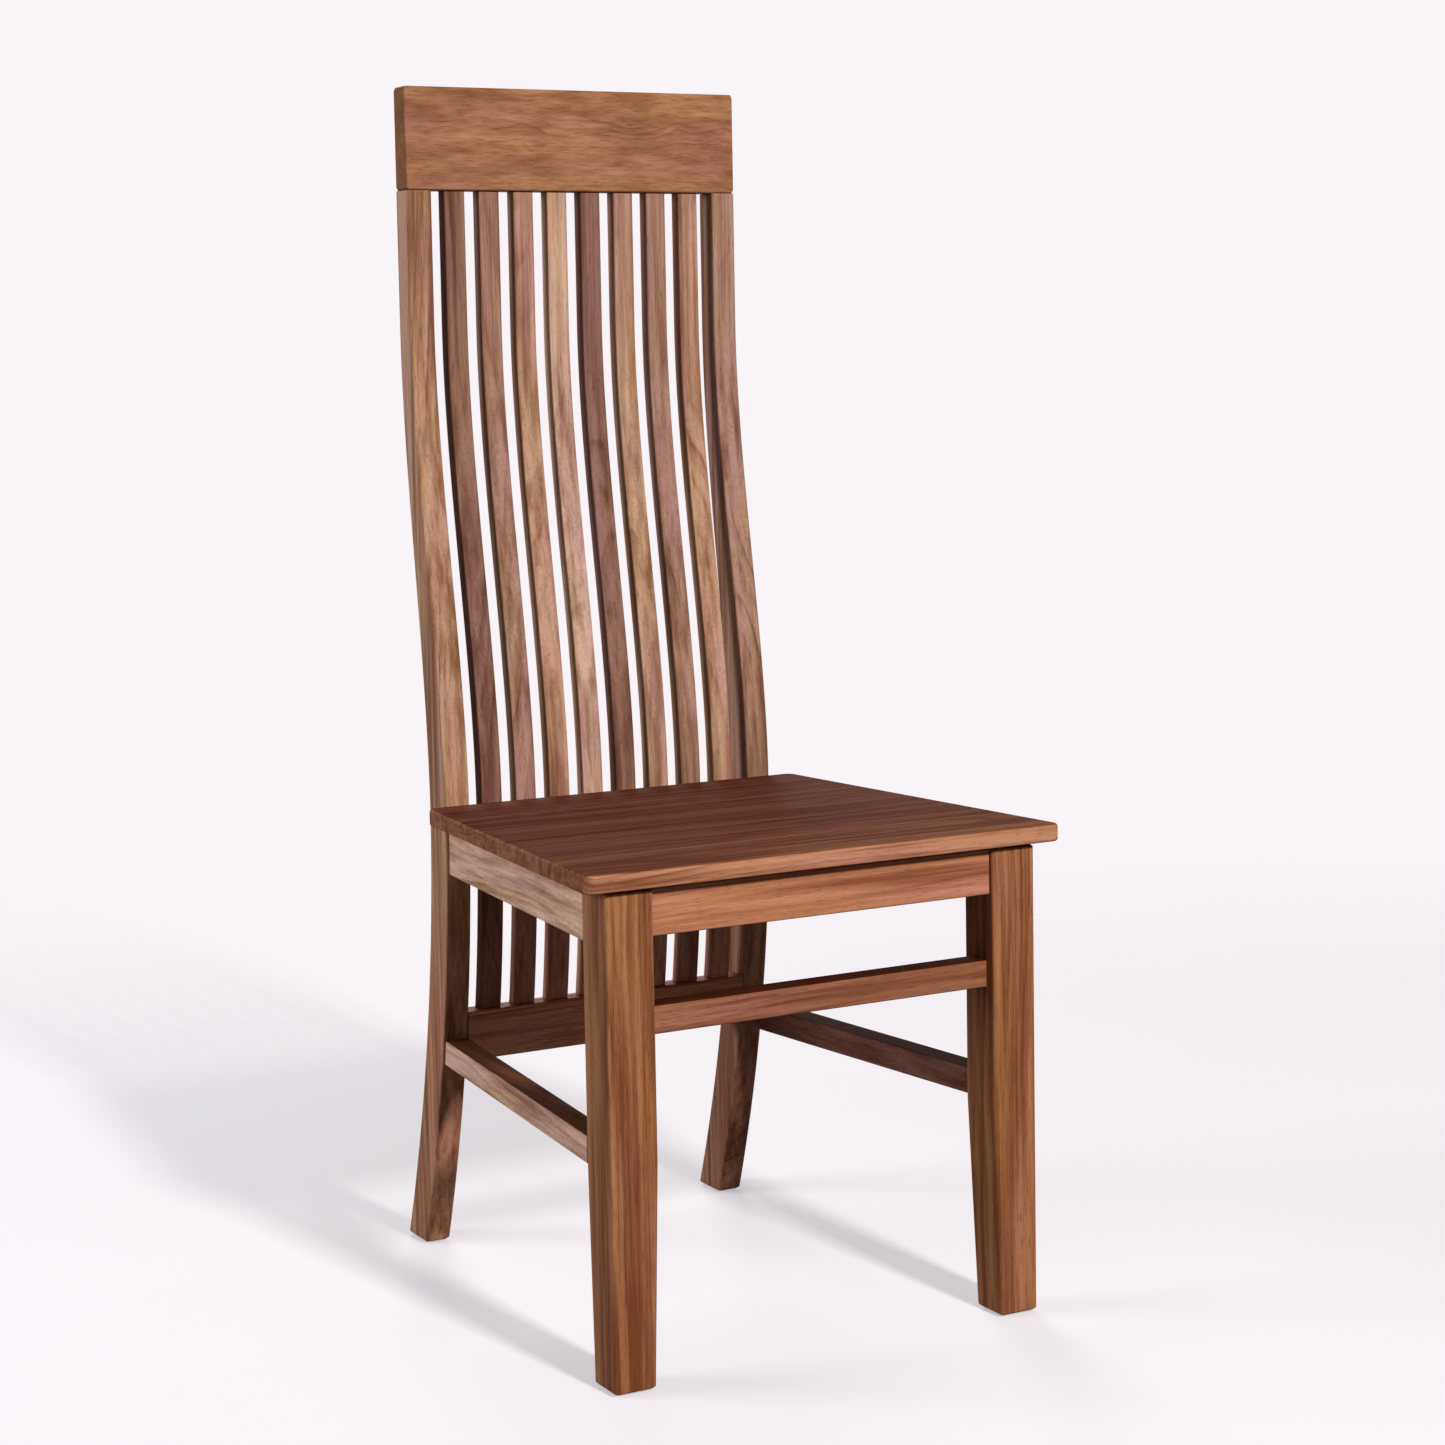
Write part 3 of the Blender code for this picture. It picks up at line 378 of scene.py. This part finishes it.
def add_camera():
    yaw, pitch, roll = (math.radians(a) for a in (CAMERA_YAW, CAMERA_PITCH, CAMERA_ROLL))
    ahead = Vector((math.sin(yaw) * math.cos(pitch), math.cos(yaw) * math.cos(pitch), -math.sin(pitch)))
    level = Vector((math.cos(yaw), -math.sin(yaw), 0))
    turn = Matrix((level, level.cross(ahead), -ahead)).transposed().to_4x4()
    data = bpy.data.cameras.new("camera")
    data.lens = LENS
    data.sensor_width = SENSOR_WIDTH
    data.shift_y = -CAMERA_SHIFT
    camera = bpy.data.objects.new("camera", data)
    camera.matrix_world = Matrix.Translation(CAMERA_PLACE) @ turn @ Matrix.Rotation(roll, 4, "Z")
    bpy.context.scene.collection.objects.link(camera)
    bpy.context.scene.camera = camera


def add_lamp(name, place, aim, size, watts, colour):
    data = bpy.data.lights.new(name, "AREA")
    data.shape = "RECTANGLE"
    data.size, data.size_y = size
    data.energy = watts
    data.color = colour
    lamp = bpy.data.objects.new(name, data)
    lamp.location = place
    lamp.rotation_euler = (Vector(aim) - Vector(place)).to_track_quat("-Z", "Y").to_euler()
    bpy.context.scene.collection.objects.link(lamp)


def seen_directly(tree):
    """1 where a surface is looked at, also in a reflection or through glass, and 0 for its light."""
    path = tree.nodes.new("ShaderNodeLightPath")
    seen = path.outputs["Is Camera Ray"]
    for name in ("Is Glossy Ray", "Is Transmission Ray"):
        either = tree.nodes.new("ShaderNodeMath")
        either.operation = "MAXIMUM"
        tree.links.new(seen, either.inputs[0])
        tree.links.new(path.outputs[name], either.inputs[1])
        seen = either.outputs[0]
    return seen


def add_floor():
    """A pale floor that takes a soft shadow and fades into the backdrop away from the chair. Part of
    its paleness is there only to be looked at, and it throws back less light than it shows."""
    mesh = bpy.data.meshes.new("floor")
    r = FLOOR_REACH
    mesh.from_pydata([(-r, -r, 0), (r, -r, 0), (r, r, 0), (-r, r, 0)], [], [(0, 1, 2, 3)])
    floor = bpy.data.objects.new("floor", mesh)
    bpy.context.scene.collection.objects.link(floor)
    graph = Graph("pale_floor")
    coords = graph.add("TexCoord").outputs["Object"]
    seen = seen_directly(graph.tree)
    cloud = graph.noise(coords, 1.3, 1.3, 4.0, 0.55).outputs["Fac"]
    shown = graph.tinted(FLOOR_SHOWN, graph.ramp(cloud, ((0.3, 0.97), (0.7, 1.0))))
    graph.finish(base_color=graph.mix(seen, FLOOR_BOUNCE, shown), roughness=0.8, specular_ior_level=0.1)
    glow = graph.add("Emission", {"Color": (*PALE, 1), "Strength": graph.maths("MULTIPLY", seen, FLOOR_GLOW)})
    lit = graph.add("AddShader", {0: graph.shader.outputs[0], 1: glow.outputs[0]})
    distance = graph.add("VectorMath", {0: coords}, operation="LENGTH").outputs["Value"]
    near, far = FLOOR_FADE
    fade = graph.ramp(graph.maths("DIVIDE", distance, r), ((near, 0.0), (far, 1.0)))
    clear = graph.add("BsdfTransparent")
    whole = graph.add("MixShader", {0: fade, 1: lit.outputs[0], 2: clear.outputs[0]})
    graph.put(graph.tree.nodes["Material Output"].inputs["Surface"], whole.outputs[0])
    mesh.materials.append(graph.material)


def add_world():
    """The pale backdrop where it is looked at, and a dimmer, cooler fill for the light it gives."""
    world = bpy.data.worlds.new("studio")
    bpy.context.scene.world = world
    world.use_nodes = True
    tree = world.node_tree
    fill = tree.nodes["Background"]
    fill.inputs["Color"].default_value = (*FILL_COLOUR, 1)
    fill.inputs["Strength"].default_value = FILL_STRENGTH
    backdrop = tree.nodes.new("ShaderNodeBackground")
    backdrop.inputs["Color"].default_value = (*PALE, 1)
    mix = tree.nodes.new("ShaderNodeMixShader")
    for socket, value in zip(mix.inputs, (seen_directly(tree), fill.outputs[0], backdrop.outputs[0])):
        tree.links.new(value, socket)
    tree.links.new(mix.outputs[0], tree.nodes["World Output"].inputs["Surface"])


dress_back()
dress_legs()
dress_rails()
dress_seat()
dress_hardware()
add_camera()
add_floor()
add_world()
for name, settings in LAMPS.items():
    add_lamp(name, *settings)
bpy.context.scene.view_settings.view_transform = "Standard"
